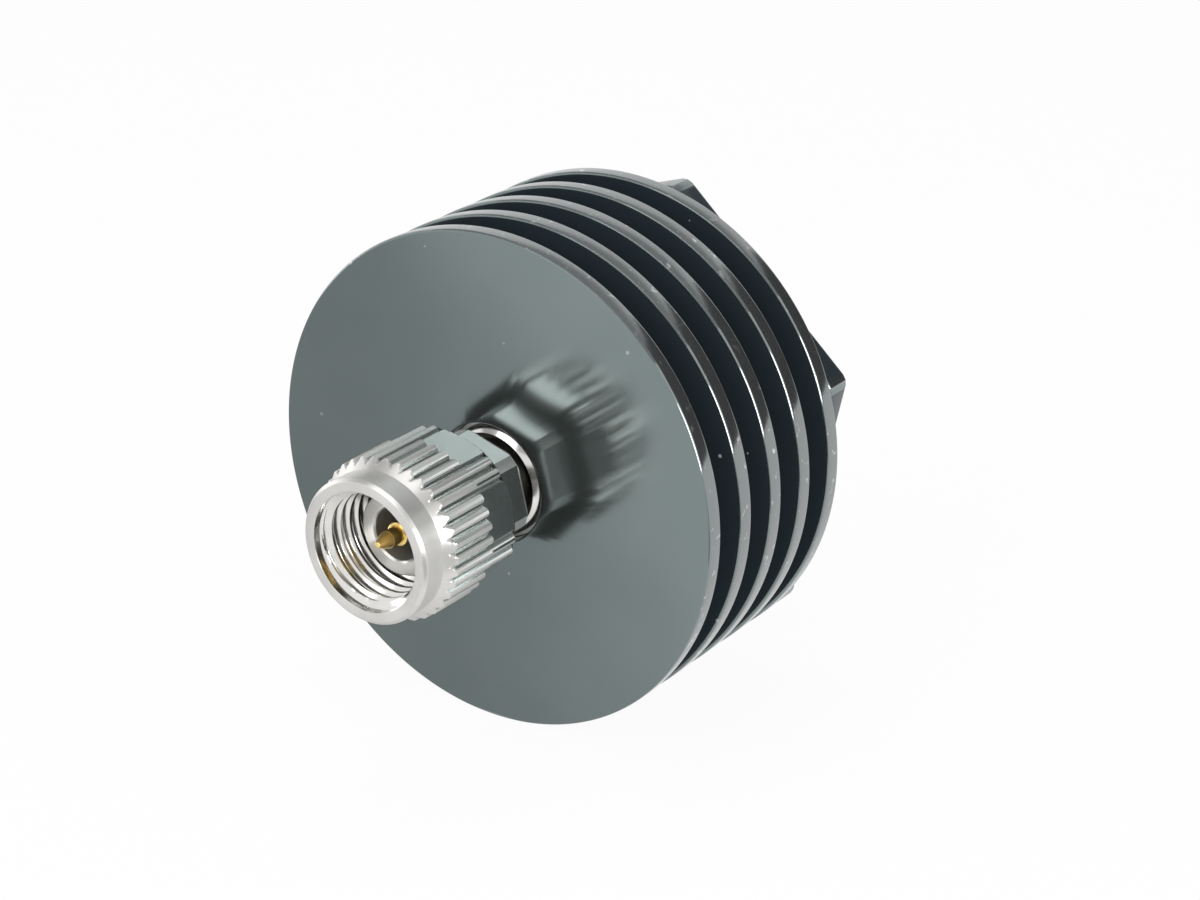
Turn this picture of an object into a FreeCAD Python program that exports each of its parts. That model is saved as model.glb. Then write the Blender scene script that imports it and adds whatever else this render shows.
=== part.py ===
import FreeCAD, Part
import math
import os
import re
import sys
import Sketcher

# Coaxial attenuator: a finned heat sink on a 2.92 mm line, male port in front, female port behind.
# The axis of the line is Y. The male mating plane is y = 0, the male port faces -Y and Z is up.

doc = FreeCAD.newDocument("CoaxialAttenuator")
sheet = doc.addObject("Spreadsheet::Sheet", "Dims")

# Driving dimensions in millimetres and degrees, piece by piece
SIZES = {
    # the line: inside of the outer conductor, outside of the centre conductor
    "line_radius": 1.46,
    "centre_radius": 0.635,
    "tail_radius": 0.40,
    # small clearance between pieces that are assembled for good
    "fit_gap": 0.02,
    # clearance between the turning nut and what it turns on
    "turning_gap": 0.10,
    # coupling nut
    "nut_reach": 2.67,
    "nut_rear_gap": 0.30,
    "nut_ring_radius": 3.90,
    "nut_ring_bevel": 0.17,
    "nut_knurl_foot": 1.25,
    "nut_crown": 0.40,
    "nut_knurl_bevel": 0.58,
    "nut_rear_bevel": 0.50,
    "nut_mouth_radius": 3.21,
    "nut_mouth_depth": 0.45,
    "nut_mouth_bevel": 0.18,
    "nut_thread_bore": 2.85,
    "nut_thread_length": 3.60,
    "nut_relief_radius": 3.20,
    "nut_web": 1.35,
    "nut_teeth": 36,
    "tooth_depth": 0.30,
    "tooth_gap": 0.52,
    "tooth_turn": 5.0,
    "nut_across_flats": 8.00,
    "nut_flats_length": 2.40,
    "nut_turn": 15.0,
    # snap ring that holds the nut on the male shell
    "snap_web_gap": 0.23,
    "snap_width": 0.50,
    "snap_outer": 2.75,
    "snap_groove_radius": 1.95,
    "snap_side_gap": 0.03,
    "snap_mouth": 36.0,
    # male shell, the outer conductor of the male port
    "shell_radius": 2.28,
    "shell_bevel": 0.10,
    "flange_front": 4.90,
    "flange_width": 1.90,
    "flange_across_flats": 6.00,
    "flange_crown": 0.30,
    "flange_turn": 13.5,
    "flange_edge": 0.12,
    "neck_radius": 2.30,
    "lip_inset": 0.10,
    "lip_gap": 0.25,
    "lip_wall": 0.30,
    "lip_bevel": 0.25,
    "lip_depth": 0.75,
    "recess_depth": 0.60,
    "male_shank": 2.80,
    # male centre pin
    "pin_radius": 0.46,
    "pin_reach": 1.61,
    "pin_cone": 0.78,
    "pin_nose": 0.13,
    # support beads
    "bead_rim": 0.68,
    "bead_width": 1.00,
    # heat sink
    "sink_front": 7.70,
    "sink_radius": 13.75,
    "sink_bore": 3.30,
    "core_radius": 7.00,
    "fin_count": 5,
    "fin_pitch": 2.90,
    "fin_width": 1.00,
    "sink_hex_width": 1.70,
    "sink_hex_depth": 1.75,
    "sink_hex_turn": 47.5,
    # attenuator cartridge
    "tube_wall": 0.98,
    "carrier_inset": 1.05,
    "chip_inset": 0.20,
    "chip_width": 2.40,
    "chip_thick": 0.40,
    "film_inset": 0.20,
    "film_width": 1.20,
    "film_thick": 0.05,
    "channel_width": 1.60,
    "channel_height": 1.00,
    # tabs that join the centre conductors to the film
    "tail_reach": 0.60,
    "tab_overlap": 0.75,
    "tab_width": 0.80,
    "tab_thick": 0.10,
    # female body, the outer conductor of the female port
    "female_shank": 2.80,
    "hex_width": 2.00,
    "hex_across": 8.00,
    "hex_crown": 0.50,
    "barrel_radius": 3.175,
    "barrel_length": 7.50,
    "barrel_bevel": 0.30,
    "undercut_width": 0.60,
    "undercut_radius": 2.75,
    "mate_depth": 1.90,
    "mate_radius": 2.32,
    # female centre contact
    "socket_radius": 0.47,
    "socket_depth": 2.90,
    "socket_inset": 0.03,
    "slot_width": 0.14,
    "slot_length": 2.40,
    "slot_count": 4,
}

for row, (alias, value) in enumerate(SIZES.items(), start=1):
    sheet.set(f"A{row}", alias)
    sheet.set(f"B{row}", str(value))
    sheet.setAlias(f"B{row}", alias)
doc.recompute()

# Stations along the axis and radii that several pieces share, worked out from the driving dimensions
SHARED = {
    "nut_rear": "(flange_front - nut_rear_gap)",
    "nut_knurl_radius": "(nut_across_flats / 2 + nut_crown)",
    "nut_thread_rear": "(nut_mouth_depth + nut_mouth_bevel + nut_thread_length - nut_reach)",
    "snap_rear": "(nut_rear - nut_web - snap_web_gap)",
    "snap_front": "(snap_rear - snap_width)",
    "flange_rear": "(flange_front + flange_width)",
    "flange_radius": "(flange_across_flats / 2 + flange_crown)",
    "shank_radius": "(sink_bore - fit_gap)",
    "lip_outer": "(sink_bore - lip_gap)",
    "lip_inner": "(lip_outer - lip_wall)",
    "lip_front": "(sink_front + lip_inset)",
    "bead_radius": "(shank_radius - bead_rim)",
    "male_seat": "(male_shank_end - bead_width)",
    "male_shank_end": "(sink_front + male_shank)",
    "sink_hex_across": "(2 * (sink_radius - sink_hex_depth))",
    "plate_front": "(sink_front + (fin_count - 1) * fin_pitch + fin_width)",
    "sink_end": "(plate_front + sink_hex_width)",
    "female_front": "(sink_end - female_shank)",
    "female_seat": "(female_front + bead_width)",
    "barrel_front": "(sink_end + hex_width)",
    "barrel_end": "(barrel_front + barrel_length)",
    "female_plane": "(barrel_end - mate_depth)",
    "hex_radius": "(hex_across / 2 + hex_crown)",
    "tube_bore": "(shank_radius - tube_wall)",
    "carrier_front": "(male_shank_end + carrier_inset)",
    "carrier_length": "(female_front - male_shank_end - 2 * carrier_inset)",
    "chip_front": "(carrier_front + chip_inset)",
    "chip_length": "(carrier_length - 2 * chip_inset)",
    "film_front": "(chip_front + film_inset)",
    "film_length": "(chip_length - 2 * film_inset)",
    "tab_length": "(carrier_inset + chip_inset + film_inset + tab_overlap - tail_reach)",
    "film_top": "(-tab_thick / 2)",
    "chip_top": "(film_top - film_thick)",
}


def bound(text):
    """Spell an expression out in cells of the sheet."""
    while True:
        wider = re.sub(r"[a-z_]+", lambda word: SHARED.get(word.group(), word.group()), text)
        if wider == text:
            break
        text = wider
    return re.sub(r"[a-z_]+", lambda word: f"Dims.{word.group()}" if word.group() in SIZES else word.group(), text)


def origin_part(body, role):
    """The plane or axis of a body's own origin that has this role."""
    return next(item for item in body.Origin.OriginFeatures if item.Role == role)


def new_body(name):
    """An empty body whose label is the name of its piece."""
    body = doc.addObject("PartDesign::Body", name)
    body.Label = name
    return body


def outline(body, name, role, points, station="0"):
    """A closed outline of straight lines on an origin plane; every corner is tied to the sheet."""
    sketch = body.newObject("Sketcher::SketchObject", name)
    sketch.AttachmentSupport = [(origin_part(body, role), "")]
    sketch.MapMode = "FlatFace"
    if station != "0":
        sketch.setExpression(".AttachmentOffset.Base.z", bound(f"-({station})"))
    corners = []
    for across, along in points:
        corners.append(FreeCAD.Vector(reading(across), reading(along), 0))
    count = len(corners)
    for index in range(count):
        sketch.addGeometry(Part.LineSegment(corners[index], corners[(index + 1) % count]), False)
    for index in range(count):
        sketch.addConstraint(Sketcher.Constraint("Coincident", index, 2, (index + 1) % count, 1))
    for index, (across, along) in enumerate(points):
        for kind, text, value in (("DistanceX", across, corners[index].x), ("DistanceY", along, corners[index].y)):
            number = sketch.addConstraint(Sketcher.Constraint(kind, index, 1, value))
            sketch.setExpression(f"Constraints[{number}]", bound(text))
    return sketch


def reading(text):
    """The present value of an expression of sheet names."""
    plain = bound(text)
    value = sheet.evalExpression(plain.replace("Dims.", ""))
    return float(getattr(value, "Value", value))


def turn(body, name, points, angle="360"):
    """Material turned about the axis from a half section given as (y, radius) corners."""
    sketch = outline(body, name + "Section", "YZ_Plane", points)
    feature = body.newObject("PartDesign::Revolution", name)
    feature.Profile = sketch
    feature.ReferenceAxis = (sketch, ["H_Axis"])
    feature.setExpression("Angle", bound(angle))
    return feature


def turned(name, points, angle="360"):
    """A piece that is one turning."""
    body = new_body(name)
    turn(body, name + "Turning", points, angle)
    return body


def mill(body, name, sketch, length, to_rear=True):
    """Cut an outline away along the axis, towards +Y or towards -Y."""
    doc.recompute()
    before = body.Shape.Volume
    pocket = body.newObject("PartDesign::Pocket", name)
    pocket.Profile = sketch
    pocket.setExpression("Length", bound(length))
    pocket.Reversed = not to_rear
    doc.recompute()
    if not body.Shape.Volume < before - 1e-6:
        sys.exit(f"{name} cuts nothing")
    return pocket


def spread(body, name, feature, count, kind="PartDesign::PolarPattern", length=None):
    """Repeat a feature round the axis, or along it when a length is given."""
    pattern = body.newObject(kind, name)
    pattern.Originals = [feature]
    if length is None:
        pattern.Axis = (origin_part(body, "Y_Axis"), [""])
        pattern.Angle = 360
    else:
        pattern.Direction = (origin_part(body, "Y_Axis"), [""])
        pattern.setExpression("Length", bound(length))
    pattern.setExpression("Occurrences", bound(count))
    body.Tip = pattern
    return pattern


def mill_flats(body, name, across, stock, turned_by, front, length):
    """Six wrench flats: all that stands outside a hexagon is cut away over a length of the bar."""
    sketch = body.newObject("Sketcher::SketchObject", name + "Outline")
    sketch.AttachmentSupport = [(origin_part(body, "XZ_Plane"), "")]
    sketch.MapMode = "FlatFace"
    sketch.setExpression(".AttachmentOffset.Base.z", bound(f"-({front})"))
    sketch.setExpression(".AttachmentOffset.Rotation.Axis.x", "0")
    sketch.setExpression(".AttachmentOffset.Rotation.Axis.z", "1")
    sketch.setExpression(".AttachmentOffset.Rotation.Angle", bound(turned_by))
    apothem = reading(across) / 2
    corner = apothem / math.cos(math.radians(30))
    points = []
    for step in range(6):
        points.append(FreeCAD.Rotation(FreeCAD.Vector(0, 0, 1), 30 + 60 * step) * FreeCAD.Vector(corner, 0, 0))
    for step in range(6):
        sketch.addGeometry(Part.LineSegment(points[step], points[(step + 1) % 6]), False)
    for step in range(6):
        sketch.addConstraint(Sketcher.Constraint("Coincident", step, 2, (step + 1) % 6, 1))
    for step in range(5):
        sketch.addConstraint(Sketcher.Constraint("Equal", step, step + 1))
    centre = FreeCAD.Vector(0, 0, 0)
    frame = sketch.addGeometry(Part.Circle(centre, FreeCAD.Vector(0, 0, 1), corner), True)
    sketch.addConstraint(Sketcher.Constraint("Coincident", frame, 3, -1, 1))
    for step in range(6):
        sketch.addConstraint(Sketcher.Constraint("PointOnObject", step, 1, frame))
    sketch.addConstraint(Sketcher.Constraint("Vertical", 5))
    number = sketch.addConstraint(Sketcher.Constraint("Distance", 5, 1, 2, 2, 2 * apothem))
    sketch.setExpression(f"Constraints[{number}]", bound(across))
    waste = sketch.addGeometry(Part.Circle(centre, FreeCAD.Vector(0, 0, 1), 2 * reading(stock)), False)
    sketch.addConstraint(Sketcher.Constraint("Coincident", waste, 3, -1, 1))
    number = sketch.addConstraint(Sketcher.Constraint("Radius", waste, 2 * reading(stock)))
    sketch.setExpression(f"Constraints[{number}]", bound(f"2 * ({stock})"))
    return mill(body, name, sketch, length)


# Coupling nut: turned from bar, knurled, six flats milled over its rear half
nut = turned("coupling_nut", [
    ("-nut_reach", "nut_mouth_radius"),
    ("-nut_reach", "nut_ring_radius - nut_ring_bevel"),
    ("nut_ring_bevel - nut_reach", "nut_ring_radius"),
    ("-nut_knurl_foot", "nut_ring_radius"),
    ("nut_knurl_bevel - nut_knurl_foot", "nut_knurl_radius"),
    ("nut_rear - nut_rear_bevel", "nut_knurl_radius"),
    ("nut_rear", "nut_knurl_radius - nut_rear_bevel"),
    ("nut_rear", "shell_radius + turning_gap"),
    ("nut_rear - nut_web", "shell_radius + turning_gap"),
    ("nut_rear - nut_web", "nut_relief_radius"),
    ("nut_thread_rear", "nut_relief_radius"),
    ("nut_thread_rear", "nut_thread_bore"),
    ("nut_mouth_depth + nut_mouth_bevel - nut_reach", "nut_thread_bore"),
    ("nut_mouth_depth - nut_reach", "nut_mouth_radius"),
])
groove = outline(nut, "KnurlGroove", "XZ_Plane", [
    ("nut_knurl_radius - tooth_depth", "0"),
    ("nut_knurl_radius + tooth_depth", "-tooth_gap"),
    ("nut_knurl_radius + tooth_depth", "tooth_gap"),
], "-nut_knurl_foot")
groove.setExpression(".AttachmentOffset.Rotation.Axis.x", "0")
groove.setExpression(".AttachmentOffset.Rotation.Axis.z", "1")
groove.setExpression(".AttachmentOffset.Rotation.Angle", bound("tooth_turn"))
tooth_space = mill(nut, "ToothSpace", groove, "nut_knurl_foot + nut_rear")
spread(nut, "Knurl", tooth_space, "nut_teeth")
mill_flats(nut, "NutFlats", "nut_across_flats", "nut_knurl_radius", "nut_turn",
           "nut_rear - nut_flats_length", "nut_flats_length")

# Snap ring: an open ring of spring wire, seated in the groove of the male shell
turned("nut_snap_ring", [
    ("snap_front", "snap_groove_radius + fit_gap"),
    ("snap_rear", "snap_groove_radius + fit_gap"),
    ("snap_rear", "snap_outer"),
    ("snap_front", "snap_outer"),
], "360 - snap_mouth")

# Male shell: one turning with the sleeve, the flange with flats, the neck, the bright lip and the shank
shell = turned("male_shell", [
    ("0", "line_radius + shell_bevel"),
    ("0", "shell_radius - shell_bevel"),
    ("shell_bevel", "shell_radius"),
    ("snap_front - snap_side_gap", "shell_radius"),
    ("snap_front - snap_side_gap", "snap_groove_radius"),
    ("snap_rear + snap_side_gap", "snap_groove_radius"),
    ("snap_rear + snap_side_gap", "shell_radius"),
    ("flange_front", "shell_radius"),
    ("flange_front", "flange_radius - flange_edge"),
    ("flange_front + flange_edge", "flange_radius"),
    ("flange_rear - flange_edge", "flange_radius"),
    ("flange_rear", "flange_radius - flange_edge"),
    ("flange_rear", "neck_radius"),
    ("lip_front + recess_depth", "neck_radius"),
    ("lip_front + recess_depth", "lip_inner"),
    ("lip_front", "lip_inner"),
    ("lip_front + lip_bevel", "lip_outer"),
    ("lip_front + lip_depth", "lip_outer"),
    ("lip_front + lip_depth", "shank_radius"),
    ("male_shank_end", "shank_radius"),
    ("male_shank_end", "bead_radius"),
    ("male_seat", "bead_radius"),
    ("male_seat", "line_radius"),
    ("shell_bevel", "line_radius"),
])
mill_flats(shell, "FlangeFlats", "flange_across_flats", "flange_radius", "flange_turn",
           "flange_front", "flange_width")

# Male centre conductor: pointed pin, full diameter of the line, thin tail through the bead
turned("male_pin", [
    ("-pin_reach", "0"),
    ("-pin_reach", "pin_nose"),
    ("pin_cone - pin_reach", "pin_radius"),
    ("0", "pin_radius"),
    ("0", "centre_radius"),
    ("male_seat", "centre_radius"),
    ("male_seat", "tail_radius"),
    ("male_shank_end + tail_reach", "tail_radius"),
    ("male_shank_end + tail_reach", "0"),
])


def bead(name, front):
    """Support bead: a disc of plastic with the centre conductor's tail through it."""
    return turned(name, [
        (front, "tail_radius + fit_gap / 2"),
        (front, "bead_radius - fit_gap"),
        (f"{front} + bead_width", "bead_radius - fit_gap"),
        (f"{front} + bead_width", "tail_radius + fit_gap / 2"),
    ])


bead("male_bead", "male_seat")

# Heat sink: turned from bar in one piece, round fins on a core and a hexagonal end plate
sink = new_body("heat_sink")
turn(sink, "Core", [
    ("sink_front", "sink_bore"),
    ("sink_front", "core_radius"),
    ("plate_front", "core_radius"),
    ("plate_front", "sink_radius"),
    ("sink_end", "sink_radius"),
    ("sink_end", "sink_bore"),
])
mill_flats(sink, "HexFlats", "sink_hex_across", "sink_radius", "sink_hex_turn", "plate_front", "sink_hex_width")
fin = turn(sink, "Fin", [
    ("sink_front", "core_radius - fin_width"),
    ("sink_front", "sink_radius"),
    ("sink_front + fin_width", "sink_radius"),
    ("sink_front + fin_width", "core_radius - fin_width"),
])
spread(sink, "Fins", fin, "fin_count", "PartDesign::LinearPattern", "(fin_count - 1) * fin_pitch")

# Cartridge tube: it holds both beads in their seats and carries the chip's heat to the heat sink
turned("cartridge_tube", [
    ("male_shank_end", "tube_bore"),
    ("male_shank_end", "shank_radius"),
    ("female_front", "shank_radius"),
    ("female_front", "tube_bore"),
])


def block(name, width, front, length, bottom, height):
    """A rectangular block, centred on the axis from side to side."""
    box = doc.addObject("Part::Box", name)
    box.setExpression("Length", bound(width))
    box.setExpression("Width", bound(length))
    box.setExpression("Height", bound(height))
    box.setExpression(".Placement.Base.x", bound(f"-({width}) / 2"))
    box.setExpression(".Placement.Base.y", bound(front))
    box.setExpression(".Placement.Base.z", bound(bottom))
    return box


def cut(name, base, tool):
    """The base with the tool's shape taken away."""
    result = doc.addObject("Part::Cut", name)
    result.Base = base
    result.Tool = tool
    result.Label = name
    return result


def half_round(name, bottom, height):
    """The slice of the carrier's round bar that lies between two levels."""
    bar = doc.addObject("Part::Cylinder", name + "Bar")
    bar.setExpression("Radius", bound("tube_bore - fit_gap"))
    bar.setExpression("Height", bound("carrier_length"))
    bar.Placement.Rotation = FreeCAD.Rotation(FreeCAD.Vector(1, 0, 0), -90)
    bar.setExpression(".Placement.Base.y", bound("carrier_front"))
    common = doc.addObject("Part::Common", name + "Half")
    common.Base = bar
    common.Tool = block(name + "Room", "2 * tube_bore", "carrier_front", "carrier_length", bottom, height)
    return common


# Carrier halves: the base holds the chip in a pocket, the cap presses on the chip's two edges
base_half = half_round("CarrierBase", "-tube_bore", "tube_bore + chip_top")
pocket = block("ChipPocket", "chip_width + 2 * fit_gap", "carrier_front", "carrier_length",
               "chip_top - chip_thick", "2 * chip_thick")
cut("carrier_base", base_half, pocket)
cap_half = half_round("CarrierCap", "chip_top", "tube_bore - chip_top")
channel = block("CapChannel", "channel_width", "carrier_front", "carrier_length",
                "chip_top - channel_height", "2 * channel_height")
cut("carrier_cap", cap_half, channel)

# Chip: a ceramic substrate with a resistive film on its upper face
block("attenuator_chip", "chip_width", "chip_front", "chip_length", "chip_top - chip_thick", "chip_thick")
block("resistor_film", "film_width", "film_front", "film_length", "chip_top", "film_thick")

# Tabs: gold strips from the end of each centre conductor onto the film
block("input_tab", "tab_width", "male_shank_end + tail_reach", "tab_length", "film_top", "tab_thick")
block("output_tab", "tab_width", "female_front - tail_reach - tab_length", "tab_length", "film_top", "tab_thick")

# Female side: bead, threaded body and slotted centre contact
bead("female_bead", "female_front")

female = turned("female_body", [
    ("female_front", "bead_radius"),
    ("female_front", "shank_radius"),
    ("sink_end", "shank_radius"),
    ("sink_end", "hex_radius"),
    ("barrel_front", "hex_radius"),
    ("barrel_front", "undercut_radius"),
    ("barrel_front + undercut_width", "undercut_radius"),
    ("barrel_front + undercut_width", "barrel_radius"),
    ("barrel_end - barrel_bevel", "barrel_radius"),
    ("barrel_end", "barrel_radius - barrel_bevel"),
    ("barrel_end", "mate_radius"),
    ("female_plane", "mate_radius"),
    ("female_plane", "line_radius"),
    ("female_seat", "line_radius"),
    ("female_seat", "bead_radius"),
])
mill_flats(female, "BodyFlats", "hex_across", "hex_radius", "flange_turn", "sink_end", "hex_width")

socket = turned("female_contact", [
    ("female_front - tail_reach", "0"),
    ("female_front - tail_reach", "tail_radius"),
    ("female_seat", "tail_radius"),
    ("female_seat", "centre_radius"),
    ("female_plane - socket_inset", "centre_radius"),
    ("female_plane - socket_inset", "socket_radius"),
    ("female_plane - socket_inset - socket_depth", "socket_radius"),
    ("female_plane - socket_inset - socket_depth", "0"),
])
finger_gap = outline(socket, "FingerGap", "XZ_Plane", [
    ("0", "-slot_width / 2"),
    ("2 * centre_radius", "-slot_width / 2"),
    ("2 * centre_radius", "slot_width / 2"),
    ("0", "slot_width / 2"),
], "female_plane - socket_inset - slot_length")
finger_slot = mill(socket, "FingerSlot", finger_gap, "slot_length")
spread(socket, "Fingers", finger_slot, "slot_count")

doc.recompute()

NODES = [
    "coupling_nut", "nut_snap_ring", "male_shell", "male_pin", "male_bead", "heat_sink", "cartridge_tube",
    "carrier_base", "carrier_cap", "attenuator_chip", "resistor_film", "input_tab", "output_tab",
    "female_bead", "female_body", "female_contact",
]

failed = [item.Name for item in doc.Objects if "Invalid" in item.State or "Error" in item.State]
if failed:
    sys.exit("failed: " + ", ".join(failed))

os.makedirs("parts", exist_ok=True)
for name in NODES:
    shape = doc.getObject(name).Shape
    if shape.isNull() or not shape.isValid() or len(shape.Solids) != 1:
        sys.exit(f"{name} is not one valid solid")
    shape.exportStep(f"parts/{name}.step")
    print(f"{name}: {shape.Volume:.3f} mm3")
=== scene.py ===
import math

import bmesh
import bpy
from mathutils import Matrix, Vector


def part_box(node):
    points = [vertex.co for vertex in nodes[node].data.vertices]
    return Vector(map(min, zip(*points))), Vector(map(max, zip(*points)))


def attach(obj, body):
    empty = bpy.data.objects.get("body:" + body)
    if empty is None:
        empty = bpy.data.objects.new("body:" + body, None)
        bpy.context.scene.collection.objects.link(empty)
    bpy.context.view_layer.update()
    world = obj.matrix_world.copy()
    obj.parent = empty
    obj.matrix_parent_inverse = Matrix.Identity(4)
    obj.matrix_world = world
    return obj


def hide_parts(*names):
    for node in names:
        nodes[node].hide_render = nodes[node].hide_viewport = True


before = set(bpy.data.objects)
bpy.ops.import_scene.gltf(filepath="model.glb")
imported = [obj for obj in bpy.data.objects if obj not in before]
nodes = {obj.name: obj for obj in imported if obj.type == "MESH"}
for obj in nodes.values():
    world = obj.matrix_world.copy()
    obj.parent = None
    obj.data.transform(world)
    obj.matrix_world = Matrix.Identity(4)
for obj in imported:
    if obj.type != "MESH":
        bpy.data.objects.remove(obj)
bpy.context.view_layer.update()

# Heat sink: one turning from black anodised aluminium, five thin fins on a core.
# Its rear plate is milled to a hexagon whose corners the bar's round just clips.
# Its front face is a smooth dark mirror, behind it a duller black with painted shade, and the rims have
# painted light and pale wear.
MM = 0.001
SINK_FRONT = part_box("heat_sink")[0][1] / MM
SINK_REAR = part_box("heat_sink")[1][1] / MM
SINK_RADIUS = 13.75
CORE_RADIUS = 7.0
SINK_BORE = 3.30
FIN_COUNT = 5
FIN_PITCH = 2.90
FIN_WIDTH = 1.00
FIN_EASE = 0.15
PLATE_ACROSS = 24.0
PLATE_NORMALS = [47.5 + 60 * step for step in range(6)]
FLAT_TO_CORNER = 30
SINK_STEPS = 288
ANGLE_DIGITS = 4
ROUND_POINTS = 6
ROUND_REACH = 0.4
SEAM = 0.00001
SHARP_ANGLE = 19

MIRROR_COAT = ((0.178, 0.216, 0.218), (0.232, 0.275, 0.272))
MIRROR_METALLIC = 0.92
MIRROR_ROUGHNESS = (0.095, 0.125)
MIRROR_SPREAD = 0.96
RINGS_ROUND_AXIS = 0.25
BLACK_COAT_AND_GAP_SHADE = (0.022, 0.031, 0.038)
PAINTED_RIM_LIGHT = (0.26, 0.28, 0.285)
WORN_RIM = (0.72, 0.73, 0.72)
DUST = (0.40, 0.41, 0.40)
DIRT = (0.07, 0.08, 0.08)
SPECK_CHANCE = (0.6, 1.0)
RIM_BAND_EDGE = (-0.03, 0.02)
RIM_WEAR_EDGE = (-0.02, 0.04)
WORN_PATCHES = (0.60, 0.78)


def eased(outline, ease):
    """The same closed outline of (y, radius) corners, with a small round at each corner off the axis."""
    rounded = []
    count = len(outline)
    for index in range(count):
        here = Vector(outline[index])
        if here.y == 0:
            rounded.append(here)
            continue
        into = Vector(outline[index - 1]) - here
        away = Vector(outline[(index + 1) % count]) - here
        start = here + into.normalized() * min(ease, ROUND_REACH * into.length)
        end = here + away.normalized() * min(ease, ROUND_REACH * away.length)
        for step in range(ROUND_POINTS):
            share = step / (ROUND_POINTS - 1)
            rounded.append(start * (1 - share) ** 2 + here * 2 * share * (1 - share) + end * share ** 2)
    return rounded


def in_order(angles):
    """These angles in degrees, brought within one turn, in order and each only once."""
    return sorted({round(angle % 360, ANGLE_DIGITS) for angle in angles})


def evenly(steps, corners=()):
    """Angles round the axis in degrees: even steps, and the corners that a milled piece needs."""
    return in_order([360 * step / steps for step in range(steps)] + list(corners))


def flat_radius(angle, normals, apothem):
    """How far the milled flat that faces this way lies from the axis."""
    nearest = min(abs((angle - normal + 180) % 360 - 180) for normal in normals)
    return apothem / math.cos(math.radians(nearest))


def milled_ring(along, radius, angles, normals, apothem):
    """A ring that is round, and cut back where the milled flats lie deeper."""
    return [(along, min(radius, flat_radius(angle, normals, apothem))) for angle in angles]


def ring_points(shape, ring, angles):
    """The points of a ring that has one (y, radius) for each angle, in millimetres."""
    points = []
    for angle, (along, radius) in zip(angles, ring):
        turn = math.radians(angle)
        place = (radius * MM * math.cos(turn), along * MM, radius * MM * math.sin(turn))
        points.append(shape.verts.new(place))
    return points


def join_rings(shape, loops):
    """Faces from each ring of points to the next, all the way round."""
    count = len(loops[0])
    for here, after in zip(loops, loops[1:]):
        for side in range(count):
            beyond = (side + 1) % count
            shape.faces.new((here[side], after[side], after[beyond], here[beyond]))


def skin(name, rings, angles):
    """A closed skin of rings round the axis, the last of which joins the first."""
    shape = bmesh.new()
    loops = [ring_points(shape, ring, angles) for ring in rings]
    join_rings(shape, loops + loops[:1])
    return finished(name, shape)


def finished(name, shape):
    """The shape as a visible piece, with open seams joined and its sharp edges kept sharp."""
    bmesh.ops.remove_doubles(shape, verts=shape.verts, dist=SEAM * MM)
    bmesh.ops.dissolve_degenerate(shape, edges=shape.edges, dist=SEAM * MM)
    bmesh.ops.recalc_face_normals(shape, faces=shape.faces)
    mesh = bpy.data.meshes.new(name)
    shape.to_mesh(mesh)
    shape.free()
    mesh.shade_smooth()
    mesh.set_sharp_from_angle(angle=math.radians(SHARP_ANGLE))
    piece = bpy.data.objects.new(name, mesh)
    bpy.context.scene.collection.objects.link(piece)
    return piece


def effect(name, values, results):
    """A shader node group with these named inputs and outputs, and its two end nodes."""
    tree = bpy.data.node_groups.new(name, "ShaderNodeTree")
    for label, default in values:
        socket = tree.interface.new_socket(name=label, in_out="INPUT", socket_type="NodeSocketFloat")
        socket.default_value = default
    for label in results:
        tree.interface.new_socket(name=label, in_out="OUTPUT", socket_type="NodeSocketFloat")
    return tree, tree.nodes.new("NodeGroupInput"), tree.nodes.new("NodeGroupOutput")


def worked_out(tree, operation, first, second=None):
    """One Math node; a number goes on its socket and a socket is linked to it."""
    node = tree.nodes.new("ShaderNodeMath")
    node.operation = operation
    for slot, value in enumerate((first, second)):
        if value is None:
            continue
        if isinstance(value, (int, float)):
            node.inputs[slot].default_value = value
        else:
            tree.links.new(value, node.inputs[slot])
    return node.outputs[0]


def place_on_turning(tree):
    """The distance from the axis and the distance along it, in millimetres, of the shaded point."""
    where = tree.nodes.new("ShaderNodeTexCoord")
    split = tree.nodes.new("ShaderNodeSeparateXYZ")
    tree.links.new(where.outputs["Object"], split.inputs[0])
    across = worked_out(tree, "MULTIPLY", split.outputs["X"], split.outputs["X"])
    upward = worked_out(tree, "MULTIPLY", split.outputs["Z"], split.outputs["Z"])
    radius = worked_out(tree, "SQRT", worked_out(tree, "ADD", across, upward))
    radius = worked_out(tree, "MULTIPLY", radius, 1 / MM)
    return radius, worked_out(tree, "MULTIPLY", split.outputs["Y"], 1 / MM)


def place_in_steps(tree, steps_per_mm):
    """The place of the shaded point, counted in this many steps to the millimetre."""
    where = tree.nodes.new("ShaderNodeTexCoord")
    scaled = tree.nodes.new("ShaderNodeVectorMath")
    scaled.operation = "SCALE"
    tree.links.new(where.outputs["Object"], scaled.inputs[0])
    tree.links.new(worked_out(tree, "MULTIPLY", steps_per_mm, 1 / MM), scaled.inputs["Scale"])
    return scaled.outputs[0]


def noise(tree, vector, detail):
    """Fractal noise of one wave to the unit of the vector, with this many finer layers."""
    node = tree.nodes.new("ShaderNodeTexNoise")
    node.inputs["Scale"].default_value = 1.0
    node.inputs["Detail"].default_value = detail
    tree.links.new(vector, node.inputs["Vector"])
    return node.outputs["Fac"]


def in_range(tree, value, low, high):
    """0 below the low value, 1 above the high one, and smooth between them."""
    node = tree.nodes.new("ShaderNodeMapRange")
    node.interpolation_type = "SMOOTHSTEP"
    node.inputs["From Min"].default_value = low
    node.inputs["From Max"].default_value = high
    tree.links.new(value, node.inputs["Value"])
    return node.outputs[0]


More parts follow.
